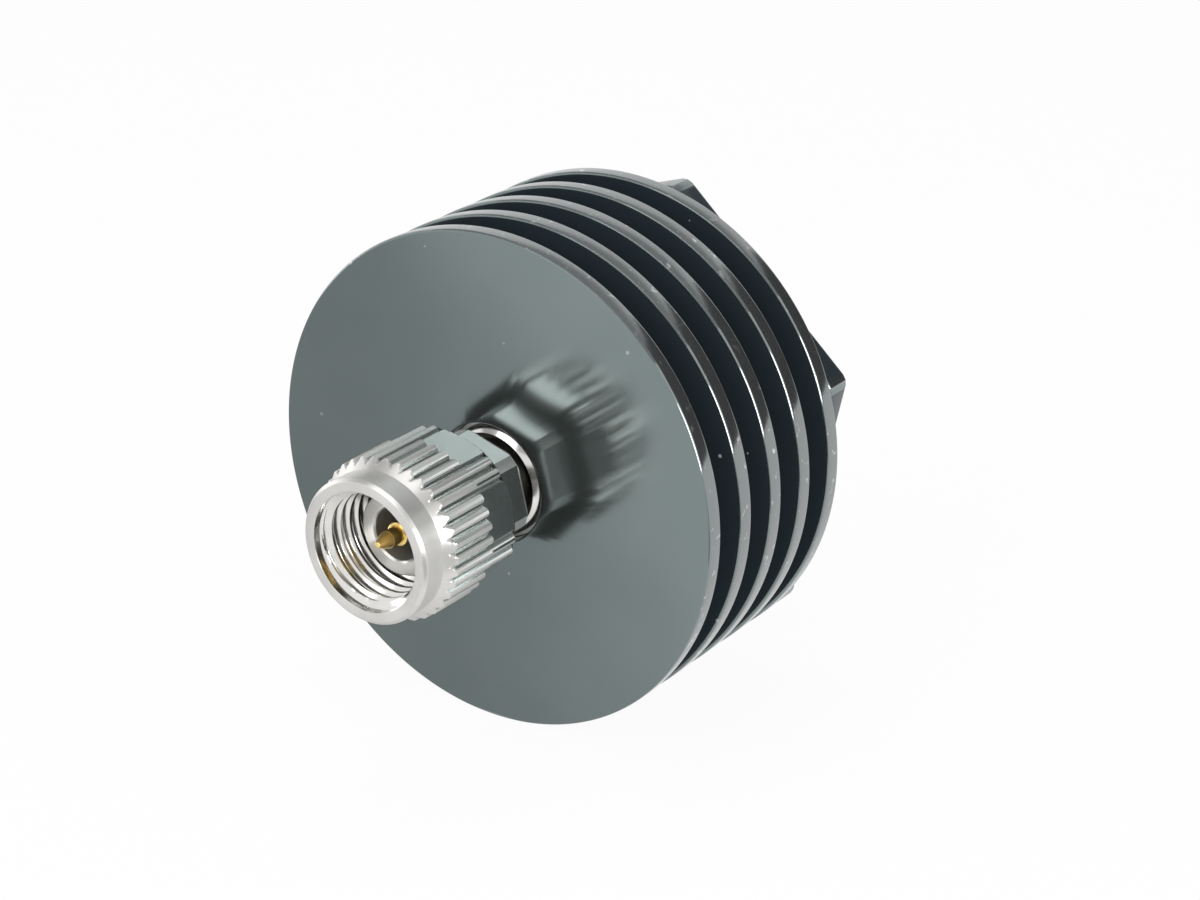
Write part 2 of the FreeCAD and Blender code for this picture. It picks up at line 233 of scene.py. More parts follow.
def tool_marks():
    """Fine rings left by the lathe: they follow the radius on a face and the axis on a cylinder."""
    tree, given, result = effect("tool marks", [("Lines per mm", 12.0)], ["Height"])
    radius, along = place_on_turning(tree)
    both = tree.nodes.new("ShaderNodeCombineXYZ")
    tree.links.new(worked_out(tree, "MULTIPLY", radius, given.outputs["Lines per mm"]), both.inputs["X"])
    tree.links.new(worked_out(tree, "MULTIPLY", along, given.outputs["Lines per mm"]), both.inputs["Y"])
    tree.links.new(noise(tree, both.outputs[0], detail=3.0), result.inputs["Height"])
    return tree


def cloudiness():
    """Slow uneven patches, as handling and plating leave them."""
    tree, given, result = effect("cloudiness", [("Patches per mm", 0.5)], ["Mask"])
    place = place_in_steps(tree, given.outputs["Patches per mm"])
    tree.links.new(noise(tree, place, detail=4.0), result.inputs["Mask"])
    return tree


def specks():
    """Scattered specks of dust and small nicks, no two of one size."""
    tree, given, result = effect("specks", [("Specks per mm", 1.0), ("Reach", 0.1)], ["Mask"])
    cells = tree.nodes.new("ShaderNodeTexVoronoi")
    cells.inputs["Scale"].default_value = 1.0
    tree.links.new(place_in_steps(tree, given.outputs["Specks per mm"]), cells.inputs["Vector"])
    chance = tree.nodes.new("ShaderNodeSeparateColor")
    tree.links.new(cells.outputs["Color"], chance.inputs[0])
    present = in_range(tree, chance.outputs[0], *SPECK_CHANCE)
    size = worked_out(tree, "MULTIPLY", given.outputs["Reach"], present)
    tree.links.new(worked_out(tree, "LESS_THAN", cells.outputs["Distance"], size), result.inputs["Mask"])
    return tree


def fin_gaps():
    """1 behind the front face and below the rims, where the coat hardly mirrors and a near-black colour is
    painted shade between the fins.
    """
    tree, given, result = effect("fin gaps", [("Front", 8.0), ("Rim radius", 13.6)], ["Mask"])
    radius, along = place_on_turning(tree)
    behind = worked_out(tree, "GREATER_THAN", along, given.outputs["Front"])
    below = worked_out(tree, "LESS_THAN", radius, given.outputs["Rim radius"])
    tree.links.new(worked_out(tree, "MULTIPLY", behind, below), result.inputs["Mask"])
    return tree


def rim_band():
    """1 on the outermost surface of the bar, the fins' rims, where a paler colour is painted light."""
    tree, given, result = effect("rim band", [("Rim radius", 13.71)], ["Mask"])
    radius = place_on_turning(tree)[0]
    beyond = worked_out(tree, "SUBTRACT", radius, given.outputs["Rim radius"])
    tree.links.new(in_range(tree, beyond, *RIM_BAND_EDGE), result.inputs["Mask"])
    return tree


def rim_wear():
    """Where the edge of a fin has lost its colour: broken lines at the outermost radius."""
    tree, given, result = effect("rim wear", [("Rim radius", 13.7), ("Scratches per mm", 1.2)], ["Mask"])
    radius = place_on_turning(tree)[0]
    beyond = worked_out(tree, "SUBTRACT", radius, given.outputs["Rim radius"])
    near_rim = in_range(tree, beyond, *RIM_WEAR_EDGE)
    place = place_in_steps(tree, given.outputs["Scratches per mm"])
    broken = in_range(tree, noise(tree, place, detail=6.0), *WORN_PATCHES)
    tree.links.new(worked_out(tree, "MULTIPLY", near_rim, broken), result.inputs["Mask"])
    return tree


TOOL_MARKS = tool_marks()
CLOUDINESS = cloudiness()
SPECKS = specks()
FIN_GAPS = fin_gaps()
RIM_BAND = rim_band()
RIM_WEAR = rim_wear()


def material(name, colour, metallic, roughness):
    """A material with its Principled shader, whose uniform values are on its own sockets."""
    made = bpy.data.materials.new(name)
    made.use_nodes = True
    shader = made.node_tree.nodes["Principled BSDF"]
    shader.inputs["Base Color"].default_value = (*colour, 1)
    shader.inputs["Metallic"].default_value = metallic
    shader.inputs["Roughness"].default_value = roughness
    return made, made.node_tree, shader


def apply_effect(tree, group, **values):
    """One of the effects, placed in a material with its own values."""
    node = tree.nodes.new("ShaderNodeGroup")
    node.node_tree = group
    for label, value in values.items():
        node.inputs[label.replace("_", " ").capitalize()].default_value = value
    return node.outputs[0]


def blended(tree, mask, low, high):
    """A colour that goes from low to high with the mask."""
    node = tree.nodes.new("ShaderNodeMix")
    node.data_type = "RGBA"
    tree.links.new(mask, node.inputs["Factor"])
    for label, value in (("A", low), ("B", high)):
        slot = next(item for item in node.inputs if item.name == label and item.type == "RGBA")
        if isinstance(value, tuple):
            slot.default_value = (*value, 1)
        else:
            tree.links.new(value, slot)
    return next(item for item in node.outputs if item.type == "RGBA")


def graded(tree, mask, low, high):
    """A number that goes from low to high with the mask."""
    node = tree.nodes.new("ShaderNodeMapRange")
    node.inputs["To Min"].default_value = low
    node.inputs["To Max"].default_value = high
    tree.links.new(mask, node.inputs["Value"])
    return node.outputs[0]


def relief(tree, shader, height, strength, depth):
    """Bump of this depth in millimetres."""
    node = tree.nodes.new("ShaderNodeBump")
    node.inputs["Strength"].default_value = strength
    node.inputs["Distance"].default_value = depth * MM
    tree.links.new(height, node.inputs["Height"])
    tree.links.new(node.outputs[0], shader.inputs["Normal"])


def turned_gloss(tree, shader, spread):
    """A turned face spreads what it mirrors across the rings of the tool, and hardly along them."""
    tangent = tree.nodes.new("ShaderNodeTangent")
    tangent.direction_type = "RADIAL"
    tangent.axis = "Y"
    tree.links.new(tangent.outputs[0], shader.inputs["Tangent"])
    shader.inputs["Anisotropic"].default_value = spread
    shader.inputs["Anisotropic Rotation"].default_value = RINGS_ROUND_AXIS


def black_anodised():
    """Black anodised aluminium: a dark mirror in front, dull behind with painted shade, with dust, dirt,
    painted light on the rims and rims worn grey.
    """
    made, tree, shader = material("black_anodised", MIRROR_COAT[1], MIRROR_METALLIC, MIRROR_ROUGHNESS[1])
    cloud = apply_effect(tree, CLOUDINESS, patches_per_mm=0.12)
    colour = blended(tree, cloud, *MIRROR_COAT)
    # Painted shade: between the fins the colour goes near-black and the coat stops mirroring.
    gap = apply_effect(tree, FIN_GAPS, front=SINK_FRONT + FIN_WIDTH / 2, rim_radius=SINK_RADIUS - FIN_EASE)
    colour = blended(tree, gap, colour, BLACK_COAT_AND_GAP_SHADE)
    tree.links.new(graded(tree, gap, low=MIRROR_METALLIC, high=0.0), shader.inputs["Metallic"])
    # Painted light: the rims are given a paler colour.
    colour = blended(tree, apply_effect(tree, RIM_BAND), colour, PAINTED_RIM_LIGHT)
    wear = apply_effect(tree, RIM_WEAR, scratches_per_mm=1.9)
    colour = blended(tree, wear, colour, WORN_RIM)
    dust = apply_effect(tree, SPECKS, specks_per_mm=0.8, reach=0.09)
    colour = blended(tree, dust, colour, DUST)
    dirt = apply_effect(tree, SPECKS, specks_per_mm=0.31, reach=0.06)
    tree.links.new(blended(tree, dirt, colour, DIRT), shader.inputs["Base Color"])
    tree.links.new(graded(tree, cloud, *MIRROR_ROUGHNESS), shader.inputs["Roughness"])
    turned_gloss(tree, shader, MIRROR_SPREAD)
    rings = apply_effect(tree, TOOL_MARKS, lines_per_mm=9.0)
    relief(tree, shader, rings, strength=0.10, depth=0.001)
    return made


def heat_sink():
    """The outline goes out and in over the fins, then over the milled plate, and back through the bore."""
    plate_front = SINK_FRONT + (FIN_COUNT - 1) * FIN_PITCH + FIN_WIDTH
    fins = [(SINK_FRONT, SINK_BORE)]
    for fin in range(FIN_COUNT):
        front = SINK_FRONT + fin * FIN_PITCH
        fins += [(front, SINK_RADIUS), (front + FIN_WIDTH, SINK_RADIUS)]
        if fin < FIN_COUNT - 1:
            fins += [(front + FIN_WIDTH, CORE_RADIUS), (front + FIN_PITCH, CORE_RADIUS)]
    fins.append((plate_front, SINK_BORE))
    plate = [
        (plate_front, SINK_BORE), (plate_front, SINK_RADIUS),
        (SINK_REAR, SINK_RADIUS), (SINK_REAR, SINK_BORE),
    ]
    angles = evenly(SINK_STEPS, [normal + FLAT_TO_CORNER for normal in PLATE_NORMALS])
    rings = [[tuple(point)] * len(angles) for point in eased(fins, FIN_EASE)[:-ROUND_POINTS]]
    for along, radius in eased(plate, FIN_EASE)[ROUND_POINTS:]:
        apothem = PLATE_ACROSS / 2 - (SINK_RADIUS - radius)
        if radius < CORE_RADIUS:
            rings.append([(along, radius)] * len(angles))
        else:
            rings.append(milled_ring(along, radius, angles, PLATE_NORMALS, apothem))
    return skin("finned_sink", rings, angles)


sink = heat_sink()
sink.data.materials.append(black_anodised())
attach(sink, "body")
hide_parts("heat_sink")

# Cartridge: a brass tube, two half-round gold-plated carriers and a ceramic chip with its film.
# It is pressed into the heat sink's bore behind the male shell and nothing of it shows outside.
TUBE_BRASS = ((0.60, 0.43, 0.20), (0.50, 0.34, 0.15))
CARRIER_GOLD = ((0.86, 0.60, 0.26), (0.80, 0.52, 0.20))
CERAMIC_WHITE = ((0.80, 0.79, 0.75), (0.88, 0.87, 0.84))
FILM_BLACK = ((0.03, 0.03, 0.04), (0.09, 0.09, 0.10))


def turned_metal(name, colours, roughness, lines, depth):
    """Bare or plated metal as turned: rings of the tool in its relief, clouds in its colour and gloss."""
    made, tree, shader = material(name, colours[0], metallic=1.0, roughness=roughness)
    cloud = apply_effect(tree, CLOUDINESS, patches_per_mm=0.9)
    tree.links.new(blended(tree, cloud, *colours), shader.inputs["Base Color"])
    gloss = graded(tree, cloud, low=roughness - 0.05, high=roughness + 0.06)
    tree.links.new(gloss, shader.inputs["Roughness"])
    rings = apply_effect(tree, TOOL_MARKS, lines_per_mm=lines)
    relief(tree, shader, rings, strength=0.35, depth=depth)
    return made


def fired_ceramic():
    """Matt white ceramic with a fine grain."""
    made, tree, shader = material("fired_ceramic", CERAMIC_WHITE[0], metallic=0.0, roughness=0.55)
    grain = apply_effect(tree, CLOUDINESS, patches_per_mm=7.0)
    tree.links.new(blended(tree, grain, *CERAMIC_WHITE), shader.inputs["Base Color"])
    relief(tree, shader, grain, strength=0.3, depth=0.004)
    return made


def resistive_film():
    """Thin dark film, slightly glossy, with a speckled bake."""
    made, tree, shader = material("resistive_film", FILM_BLACK[0], metallic=0.2, roughness=0.35)
    grain = apply_effect(tree, CLOUDINESS, patches_per_mm=12.0)
    tree.links.new(blended(tree, grain, *FILM_BLACK), shader.inputs["Base Color"])
    relief(tree, shader, grain, strength=0.2, depth=0.002)
    return made


def dress(node, finish):
    """Give a piece that keeps its own shape its finish."""
    nodes[node].data.materials.clear()
    nodes[node].data.materials.append(finish)


carrier_gold = turned_metal("carrier_gold", CARRIER_GOLD, roughness=0.28, lines=6.0, depth=0.003)
dress("cartridge_tube", turned_metal("tube_brass", TUBE_BRASS, roughness=0.32, lines=8.0, depth=0.004))
dress("carrier_base", carrier_gold)
dress("carrier_cap", carrier_gold)
dress("attenuator_chip", fired_ceramic())
dress("resistor_film", resistive_film())

# Centre line: gold-plated pin, bead and tabs at the male end, bead and slotted socket at the female end.
# Each conductor is turned from a copper alloy and its thin tail passes through a plastic bead.
# The pin's cone ends in a small blunt nose.
PIN_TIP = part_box("male_pin")[0][1] / MM
PIN_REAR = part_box("male_pin")[1][1] / MM
PIN_CONE = 0.78
PIN_RADIUS = 0.46
PIN_NOSE = 0.15
PIN_EASE = 0.05
PIN_STEPS = 96
LINE_CENTRE = 0.635
TAIL_RADIUS = 0.40
BEAD_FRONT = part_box("male_bead")[0][1] / MM
BEAD_WIDTH = 1.00
PLATE_GOLD = ((0.97, 0.77, 0.34), (0.85, 0.60, 0.20))
PLATE_ROUGHNESS = (0.12, 0.26)
BEAD_CREAM = ((0.68, 0.64, 0.52), (0.76, 0.72, 0.61))


def gold_plate():
    """Gold plate over fine tool marks, a little darker where it is handled."""
    made, tree, shader = material("gold_plate", PLATE_GOLD[0], metallic=1.0, roughness=PLATE_ROUGHNESS[0])
    cloud = apply_effect(tree, CLOUDINESS, patches_per_mm=1.6)
    tree.links.new(blended(tree, cloud, *PLATE_GOLD), shader.inputs["Base Color"])
    tree.links.new(graded(tree, cloud, *PLATE_ROUGHNESS), shader.inputs["Roughness"])
    rings = apply_effect(tree, TOOL_MARKS, lines_per_mm=14.0)
    relief(tree, shader, rings, strength=0.35, depth=0.003)
    return made


def bead_plastic():
    """Cream plastic turned to size, with the matt face that the tool leaves."""
    made, tree, shader = material("bead_plastic", BEAD_CREAM[0], metallic=0.0, roughness=0.5)
    cloud = apply_effect(tree, CLOUDINESS, patches_per_mm=1.2)
    tree.links.new(blended(tree, cloud, *BEAD_CREAM), shader.inputs["Base Color"])
    rings = apply_effect(tree, TOOL_MARKS, lines_per_mm=10.0)
    relief(tree, shader, rings, strength=0.4, depth=0.006)
    return made


def centre_pin():
    """The outline runs back from the nose over cone, pin and shoulder, and along the thin tail."""
    corners = [
        (PIN_TIP, 0), (PIN_TIP, PIN_NOSE), (PIN_TIP + PIN_CONE, PIN_RADIUS),
        (0, PIN_RADIUS), (0, LINE_CENTRE), (BEAD_FRONT, LINE_CENTRE),
        (BEAD_FRONT, TAIL_RADIUS), (PIN_REAR, TAIL_RADIUS), (PIN_REAR, 0),
    ]
    angles = evenly(PIN_STEPS)
    return skin("centre_pin", [[tuple(point)] * len(angles) for point in eased(corners, PIN_EASE)], angles)


gold = gold_plate()
plastic = bead_plastic()
pin = centre_pin()
pin.data.materials.append(gold)
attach(pin, "body")
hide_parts("male_pin")
dress("input_tab", gold)
dress("output_tab", gold)
dress("female_contact", gold)
dress("male_bead", plastic)
dress("female_bead", plastic)

# Male shell: stainless steel, turned in one piece with its sleeve, flanged for a wrench behind the nut.
# Its neck runs down into the heat sink inside a bright lip, and a groove in the sleeve takes the nut's ring.
SHELL_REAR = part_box("male_shell")[1][1] / MM
LINE_RADIUS = 1.46
SLEEVE_RADIUS = 2.28
SLEEVE_BEVEL = 0.10
GROOVE_FRONT = 2.49
GROOVE_REAR = 3.05
GROOVE_RADIUS = 1.95
FLANGE_FRONT = 4.90
FLANGE_REAR = FLANGE_FRONT + 1.90
FLANGE_RADIUS = 3.30
FLANGE_ACROSS = 6.0
FLANGE_NORMALS = [13.5 + 60 * step for step in range(6)]
FLANGE_BEVEL = 0.12
NECK_RADIUS = 2.30
LIP_FRONT = SINK_FRONT + 0.10
LIP_REAR = LIP_FRONT + 0.75
LIP_OUTER = 3.05
LIP_INNER = 2.75
LIP_BEVEL = 0.25
RECESS_FLOOR = LIP_FRONT + 0.60
SHANK_RADIUS = 3.28
BEAD_SEAT = 2.60
SHELL_EASE = 0.03
SHELL_STEPS = 180
HAIR = 1e-6
HEX_MARGIN = 0.1
BEVEL_ON_FLAT = 0.3
FLAT_FACING = 0.9995
FLAT_REACH = 0.02

STEEL = ((0.79, 0.78, 0.76), (0.69, 0.68, 0.655))
# The colour of painted shade on steel.
PAINTED_SHADE_STEEL = (0.12, 0.115, 0.10)
NICKED_STEEL = (0.93, 0.93, 0.92)
RECESS_MARGIN = 0.05
# Painted shade on the neck and the recess floor inside the lip.
NECK_PAINTED_SHADE = (FLANGE_REAR + 0.03, LIP_INNER + 0.12)


def recess_shade():
    """1 behind this place and inside this radius, as far as the recess goes, where the steel gets painted
    shade.
    """
    tree, given, result = effect("recess shade", [("Recess front", 6.83), ("Recess radius", 2.87)], ["Mask"])
    radius, along = place_on_turning(tree)
    behind = worked_out(tree, "GREATER_THAN", along, given.outputs["Recess front"])
    inside = worked_out(tree, "LESS_THAN", radius, given.outputs["Recess radius"])
    near = worked_out(tree, "LESS_THAN", along, RECESS_FLOOR + RECESS_MARGIN)
    shade = worked_out(tree, "MULTIPLY", worked_out(tree, "MULTIPLY", behind, inside), near)
    tree.links.new(shade, result.inputs["Mask"])
    return tree


RECESS_SHADE = recess_shade()


def stainless(name, lines, depth, roughness, spread=0.0, recess=None):
    """Bright stainless steel: silky tool rings, faint clouds, a few nicks that catch the light, and painted
    shade where a recess is given.
    """
    made, tree, shader = material(name, STEEL[1], metallic=1.0, roughness=roughness)
    cloud = apply_effect(tree, CLOUDINESS, patches_per_mm=1.3)
    colour = blended(tree, cloud, *STEEL)
    # Painted shade: the colour goes dark behind the given place and inside the given radius.
    if recess:
        shade = apply_effect(tree, RECESS_SHADE, recess_front=recess[0], recess_radius=recess[1])
        colour = blended(tree, shade, colour, PAINTED_SHADE_STEEL)
    if spread:
        turned_gloss(tree, shader, spread)
    nicks = apply_effect(tree, SPECKS, specks_per_mm=2.2, reach=0.10)
    tree.links.new(blended(tree, nicks, colour, NICKED_STEEL), shader.inputs["Base Color"])
    gloss = graded(tree, cloud, low=roughness - 0.05, high=roughness + 0.08)
    tree.links.new(gloss, shader.inputs["Roughness"])
    rings = apply_effect(tree, TOOL_MARKS, lines_per_mm=lines)
    relief(tree, shader, rings, strength=0.3, depth=depth)
    return made


def flat_edges(normals, across, radius):
    """The angles in degrees at which the milled flats meet the round of this radius."""
    half_flat = math.degrees(math.acos(across / 2 / radius))
    return [normal + side * half_flat for normal in normals for side in (-1, 1)]


def male_shell():
    """The outline runs back over sleeve, flange, neck, lip and shank, and returns through the line's bore."""
    corners = [
        (0, LINE_RADIUS + SLEEVE_BEVEL), (0, SLEEVE_RADIUS - SLEEVE_BEVEL), (SLEEVE_BEVEL, SLEEVE_RADIUS),
        (GROOVE_FRONT, SLEEVE_RADIUS), (GROOVE_FRONT, GROOVE_RADIUS),
        (GROOVE_REAR, GROOVE_RADIUS), (GROOVE_REAR, SLEEVE_RADIUS),
        (FLANGE_FRONT, SLEEVE_RADIUS), (FLANGE_FRONT, FLANGE_RADIUS - FLANGE_BEVEL),
        (FLANGE_FRONT + FLANGE_BEVEL, FLANGE_RADIUS), (FLANGE_REAR - FLANGE_BEVEL, FLANGE_RADIUS),
        (FLANGE_REAR, FLANGE_RADIUS - FLANGE_BEVEL), (FLANGE_REAR, NECK_RADIUS),
        (RECESS_FLOOR, NECK_RADIUS), (RECESS_FLOOR, LIP_INNER), (LIP_FRONT, LIP_INNER),
        (LIP_FRONT + LIP_BEVEL, LIP_OUTER), (LIP_REAR, LIP_OUTER), (LIP_REAR, SHANK_RADIUS),
        (SHELL_REAR, SHANK_RADIUS), (SHELL_REAR, BEAD_SEAT),
        (BEAD_FRONT, BEAD_SEAT), (BEAD_FRONT, LINE_RADIUS), (SLEEVE_BEVEL, LINE_RADIUS),
    ]
    angles = evenly(SHELL_STEPS, flat_edges(FLANGE_NORMALS, FLANGE_ACROSS, FLANGE_RADIUS))
    rings = []
    for along, radius in eased(corners, SHELL_EASE):
        if FLANGE_FRONT - HAIR < along < FLANGE_REAR + HAIR and radius > SLEEVE_RADIUS + HEX_MARGIN:
            apothem = FLANGE_ACROSS / 2 - BEVEL_ON_FLAT * (FLANGE_RADIUS - radius)
            rings.append(milled_ring(along, radius, angles, FLANGE_NORMALS, apothem))
        else:
            rings.append([(along, radius)] * len(angles))
    return skin("shell_with_flange", rings, angles)


def mill_finish(piece, normals, apothem, finish):
    """Give the faces that lie on the milled flats the cutter's even finish instead of the lathe's."""
    piece.data.materials.append(finish)
    for normal in normals:
        facing = Vector((math.cos(math.radians(normal)), 0, math.sin(math.radians(normal))))
        for face in piece.data.polygons:
            off_flat = abs(face.center.dot(facing) - apothem * MM)
            if face.normal.dot(facing) > FLAT_FACING and off_flat < FLAT_REACH * MM:
                face.material_index = 1


def cut_finish(piece, is_cut):
    """Give that finish also to the faces that this rule picks by radius and place along the axis."""
    for face in piece.data.polygons:
        if is_cut(math.hypot(face.center.x, face.center.z) / MM, face.center.y / MM):
            face.material_index = 1


def on_lip_bevel(radius, along):
    """The bevel of the lip is cut bright after the lip's face."""
    return LIP_FRONT < along < LIP_FRONT + LIP_BEVEL + SHELL_EASE and radius > LIP_INNER


shell = male_shell()
shell_steel = stainless(
    "shell_steel", lines=9.0, depth=0.001, roughness=0.34, spread=0.80, recess=NECK_PAINTED_SHADE,
)
milled_steel = stainless("milled_steel", lines=5.0, depth=0.002, roughness=0.14)
shell.data.materials.append(shell_steel)
mill_finish(shell, FLANGE_NORMALS, FLANGE_ACROSS / 2, milled_steel)
cut_finish(shell, on_lip_bevel)
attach(shell, "body")
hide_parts("male_shell")

# Coupling nut: stainless steel, turned, threaded 1/4-36 inside, knurled in straight V grooves,
# then milled with six flats over its rear half. An open spring ring in the shell's groove holds it on.
# It turns freely on the shell.
NUT_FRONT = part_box("coupling_nut")[0][1] / MM
NUT_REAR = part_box("coupling_nut")[1][1] / MM
RING_RADIUS = 3.90
RING_BEVEL = 0.17
KNURL_FOOT = -1.25
KNURL_TOP = -0.67
KNURL_RADIUS = 4.40
CONE_STEPS = 8
TOOTH_COUNT = 36
TOOTH_DEPTH = 0.30
TOOTH_HALF = 3.35
TOOTH_TURN = 5.0
TOOTH_SAMPLES = (-4.4, -3.9, -3.5, -3.1, -2.1, -1.0, 0.0, 1.0, 2.1, 3.1, 3.5, 3.9)
LAND_EASE = 0.03
LAND_EASE_HALF = 0.5
GROOVE_LIP = 0.10
NUT_ACROSS = 8.0
NUT_NORMALS = [15 + 60 * step for step in range(6)]
FLATS_FRONT = 2.20
REAR_BEVEL = 0.50
REAR_STEPS = 12
MOUTH_RADIUS = 3.21
MOUTH_DEPTH = 0.45
MOUTH_BEVEL = 0.18
THREAD_PITCH = 25.4 / 36
THREAD_MINOR = 2.85
THREAD_DEPTH = 0.32
CREST_END = 0.25
FLANK_END = 0.52
FLOOR_END = 0.73
KNEE_EASE = 0.03
THREAD_ROWS = sorted(round((knee + side * KNEE_EASE) % 1, 2)
                     for knee in (0.0, CREST_END, FLANK_END, FLOOR_END) for side in (-1, 0, 1))
THREAD_END = 1.56
RELIEF_RADIUS = 3.20
WEB_FRONT = 3.25
WEB_BORE = 2.38
NUT_EASE = 0.04
GROOVE_MARGIN = 0.01
MOUTH_MARGIN = 0.05

# Painted shade on the nut's rear bevel and rear face.
NUT_REAR_PAINTED_SHADE = (NUT_REAR - REAR_BEVEL + 0.02, KNURL_RADIUS)
SPRING_STEEL = ((0.55, 0.54, 0.52), (0.47, 0.46, 0.45))


def thread_share(phase):
    """How deep the groove is, from 0 on the crest to 1 on its floor, at this share of one pitch."""
    phase %= 1
    if phase < CREST_END:
        return 0.0
    if phase < FLANK_END:
        return (phase - CREST_END) / (FLANK_END - CREST_END)
    if phase < FLOOR_END:
        return 1.0
    return (1.0 - phase) / (1.0 - FLOOR_END)


def nut_outside(angle, along):
    """The lowest of the knurl and the two bevels."""
    off_groove = abs((angle - TOOTH_TURN + 180 / TOOTH_COUNT) % (360 / TOOTH_COUNT) - 180 / TOOTH_COUNT)
    knurl = KNURL_RADIUS - TOOTH_DEPTH * max(0.0, 1 - off_groove / TOOTH_HALF)
    knurl -= LAND_EASE * max(0.0, 1 - abs(off_groove - TOOTH_HALF) / LAND_EASE_HALF)
    front = RING_RADIUS + (along - KNURL_FOOT) * (KNURL_RADIUS - RING_RADIUS) / (KNURL_TOP - KNURL_FOOT)
    rear = KNURL_RADIUS - (along - (NUT_REAR - REAR_BEVEL))
    return min(knurl, front, rear)


def nut_bore(angle, along):
    """The widest of the mouth's bevel and the thread's groove."""
    bevel_rear = NUT_FRONT + MOUTH_DEPTH + MOUTH_BEVEL
    cone = THREAD_MINOR + (bevel_rear - along) * (MOUTH_RADIUS - THREAD_MINOR) / MOUTH_BEVEL
    share = thread_share((along - bevel_rear) / THREAD_PITCH - angle / 360)
    return max(cone, THREAD_MINOR + THREAD_DEPTH * share)


def helix_rows(start, end, angles, radius_at):
    """Rings that climb with the thread's lead, cut off square at both ends."""
    turns = math.ceil((end - start) / THREAD_PITCH) + 1
    rows = []
    for turn in range(-1, turns):
        for share in THREAD_ROWS:
            row = []
            for angle in angles:
                along = start + THREAD_PITCH * (turn + share + angle / 360)
                along = min(max(along, start), end)
                row.append((along, radius_at(angle, along)))
            rows.append(row)
    return rows


def threaded_skin(name, rings, helix, angles):
    """A closed skin whose helix rows join one pitch further on where the angles come round."""
    shape = bmesh.new()
    join_rings(shape, [ring_points(shape, ring, angles) for ring in rings])
    climbing = [ring_points(shape, row, angles) for row in helix]
    lead = len(THREAD_ROWS)
    last = len(climbing) - 1
    for row in range(last):
        here, after = climbing[row], climbing[row + 1]
        for side in range(len(angles) - 1):
            shape.faces.new((here[side], after[side], after[side + 1], here[side + 1]))
        over, next_over = climbing[min(row + lead, last)], climbing[min(row + 1 + lead, last)]
        if over is not next_over:
            shape.faces.new((here[-1], after[-1], next_over[0], over[0]))
    return finished(name, shape)


def coupling_nut():
    """Rings go back over ring, knurl and flats, and return through web, relief, thread and mouth."""
    teeth = [TOOTH_TURN + tooth * 360 / TOOTH_COUNT + sample
             for tooth in range(TOOTH_COUNT) for sample in TOOTH_SAMPLES]
    angles = in_order(teeth + flat_edges(NUT_NORMALS, NUT_ACROSS, KNURL_RADIUS))
    count = len(angles)
    front = eased([
        (NUT_FRONT + MOUTH_DEPTH, MOUTH_RADIUS), (NUT_FRONT, MOUTH_RADIUS),
        (NUT_FRONT, RING_RADIUS - RING_BEVEL), (NUT_FRONT + RING_BEVEL, RING_RADIUS),
        (KNURL_FOOT, RING_RADIUS),
    ], NUT_EASE)[ROUND_POINTS:-ROUND_POINTS]
    rings = [[(NUT_FRONT + MOUTH_DEPTH, MOUTH_RADIUS)] * count]
    rings += [[tuple(point)] * count for point in front]
    for step in range(CONE_STEPS + 1):
        along = KNURL_FOOT + (KNURL_TOP - KNURL_FOOT) * step / CONE_STEPS
        rings.append([(along, nut_outside(angle, along)) for angle in angles])
    rings.append([(FLATS_FRONT, nut_outside(angle, FLATS_FRONT)) for angle in angles])
    flats = [flat_radius(angle, NUT_NORMALS, NUT_ACROSS / 2) for angle in angles]
    stations = [FLATS_FRONT] + [NUT_REAR - REAR_BEVEL * (1 - step / REAR_STEPS) for step in range(REAR_STEPS)]
    for along in stations:
        rings.append([(along, min(nut_outside(angle, along), flat)) for angle, flat in zip(angles, flats)])
    rear = eased([
        (NUT_REAR - NUT_EASE, KNURL_RADIUS - REAR_BEVEL), (NUT_REAR, KNURL_RADIUS - REAR_BEVEL),
        (NUT_REAR, WEB_BORE), (WEB_FRONT, WEB_BORE), (WEB_FRONT, RELIEF_RADIUS), (THREAD_END, RELIEF_RADIUS),
    ], NUT_EASE)[2 * ROUND_POINTS:-ROUND_POINTS]
    rings.append([(NUT_REAR, min(KNURL_RADIUS - REAR_BEVEL, flat)) for flat in flats])
    rings += [[tuple(point)] * count for point in rear]
    rings.append([(THREAD_END, RELIEF_RADIUS)] * count)
    rings.append([(THREAD_END, nut_bore(angle, THREAD_END)) for angle in angles])
    helix = helix_rows(NUT_FRONT + MOUTH_DEPTH, THREAD_END, angles, nut_bore)
    return threaded_skin("knurled_nut", rings, helix, angles)


def in_knurl_or_thread(radius, along):
    """The walls of the knurl's grooves, and the mouth with its thread, shine as cut."""
    in_groove = NUT_ACROSS / 2 + GROOVE_MARGIN < radius < KNURL_RADIUS - GROOVE_LIP
    in_thread = radius < RELIEF_RADIUS + FLAT_REACH and NUT_FRONT + MOUTH_MARGIN < along < THREAD_END
    return in_thread or (in_groove and KNURL_TOP < along < NUT_REAR - REAR_BEVEL)


nut = coupling_nut()
# The nut's steel gets painted shade on its rear bevel and rear face.
nut_steel = stainless("nut_steel", lines=7.0, depth=0.001, roughness=0.36, spread=0.85, recess=NUT_REAR_PAINTED_SHADE)
nut.data.materials.append(nut_steel)
mill_finish(nut, NUT_NORMALS, NUT_ACROSS / 2, milled_steel)
cut_finish(nut, in_knurl_or_thread)
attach(nut, "nut")
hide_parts("coupling_nut")
dress("nut_snap_ring", turned_metal("spring_steel", SPRING_STEEL, roughness=0.28, lines=10.0, depth=0.003))

